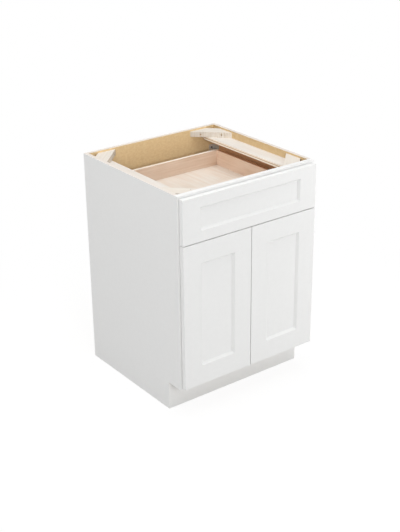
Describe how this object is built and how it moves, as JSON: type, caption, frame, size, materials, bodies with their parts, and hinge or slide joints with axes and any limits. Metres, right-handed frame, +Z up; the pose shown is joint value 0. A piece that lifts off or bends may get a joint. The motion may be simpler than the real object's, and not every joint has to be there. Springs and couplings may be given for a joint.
{
  "type": "double door base cabinet",
  "caption": "White framed kitchen base cabinet with a drawer above paired flat-panel doors, an open top with corner blocks, an inner shelf and a recessed toe space.",
  "frame": {"origin": "on the floor, at the middle of the width and of the depth from door faces to back", "axes": "+Z up, +Y to the wall behind, doors face -Y, +X to the right as seen from the front"},
  "size_m": [0.63, 0.6266, 0.8763],
  "materials": {
    "white_paint": "satin white paint over solid wood",
    "side_ply": "plywood, white painted outside, clear coated veneer inside",
    "carcass_ply": "clear coated veneered plywood",
    "stretcher_ply": "bare sanded plywood",
    "block_wood": "bare sawn softwood",
    "drawer_birch": "clear coated birch",
    "slide_zinc": "zinc plated steel",
    "hinge_nickel": "nickel plated steel",
    "screw_steel": "zinc plated steel",
    "bumper_rubber": "soft clear rubber"
  },
  "bodies": {
    "carcass": {"left_side_panel": "side_ply", "right_side_panel": "side_ply", "back_panel": "carcass_ply", "bottom_panel": "carcass_ply", "toe_kick_board": "carcass_ply", "toe_kick_skin": "white_paint", "frame_left_stile": "white_paint", "frame_right_stile": "white_paint", "frame_top_rail": "white_paint", "frame_middle_rail": "white_paint", "frame_bottom_rail": "white_paint", "left_top_stretcher": "stretcher_ply", "right_top_stretcher": "stretcher_ply", "front_left_corner_block": "block_wood", "front_right_corner_block": "block_wood", "rear_left_corner_block": "block_wood", "rear_right_corner_block": "block_wood", "corner_block_screws": "screw_steel", "adjustable_shelf": "carcass_ply", "shelf_pins": "hinge_nickel", "left_slide_cabinet_member": "slide_zinc", "right_slide_cabinet_member": "slide_zinc", "slide_rear_brackets": "slide_zinc", "slide_screws": "screw_steel", "hinge_arms": "hinge_nickel", "hinge_arm_screws": "screw_steel"},
    "slide_carriers": {"left_slide_middle_member": "slide_zinc", "right_slide_middle_member": "slide_zinc"},
    "drawer": {"drawer_box_front": "drawer_birch", "drawer_box_back": "drawer_birch", "drawer_box_left_side": "drawer_birch", "drawer_box_right_side": "drawer_birch", "drawer_bottom": "drawer_birch", "left_slide_drawer_member": "slide_zinc", "right_slide_drawer_member": "slide_zinc", "drawer_slide_screws": "screw_steel", "drawer_front_left_stile": "white_paint", "drawer_front_right_stile": "white_paint", "drawer_front_top_rail": "white_paint", "drawer_front_bottom_rail": "white_paint", "drawer_front_panel": "white_paint", "drawer_front_screws": "screw_steel", "drawer_bumpers": "bumper_rubber"},
    "left_door": {"left_door_hinge_stile": "white_paint", "left_door_meeting_stile": "white_paint", "left_door_top_rail": "white_paint", "left_door_bottom_rail": "white_paint", "left_door_panel": "white_paint", "left_door_hinge_cups": "hinge_nickel", "left_door_hinge_pins": "hinge_nickel", "left_door_bumpers": "bumper_rubber"},
    "right_door": {"right_door_hinge_stile": "white_paint", "right_door_meeting_stile": "white_paint", "right_door_top_rail": "white_paint", "right_door_bottom_rail": "white_paint", "right_door_panel": "white_paint", "right_door_hinge_cups": "hinge_nickel", "right_door_hinge_pins": "hinge_nickel", "right_door_bumpers": "bumper_rubber"}
  },
  "joints": [
    {"name": "left_door_hinge", "type": "hinge", "parent": "carcass", "child": "left_door", "pos_m": [-0.3014, -0.30375, 0.213], "axis": [0, 0, -1], "range_deg": [0, 105]},
    {"name": "right_door_hinge", "type": "hinge", "parent": "carcass", "child": "right_door", "pos_m": [0.3014, -0.30375, 0.213], "axis": [0, 0, 1], "range_deg": [0, 105]},
    {"name": "drawer_slide", "type": "slide", "parent": "carcass", "child": "drawer", "axis": [0, -1, 0], "range_m": [0, 0.48]},
    {"name": "slide_carrier_slide", "type": "slide", "parent": "carcass", "child": "slide_carriers", "axis": [0, -1, 0], "range_m": [0, 0.24]}
  ],
  "couplings": [
    {"joint": "slide_carrier_slide", "follows": "drawer_slide", "ratio": 0.5}
  ]
}
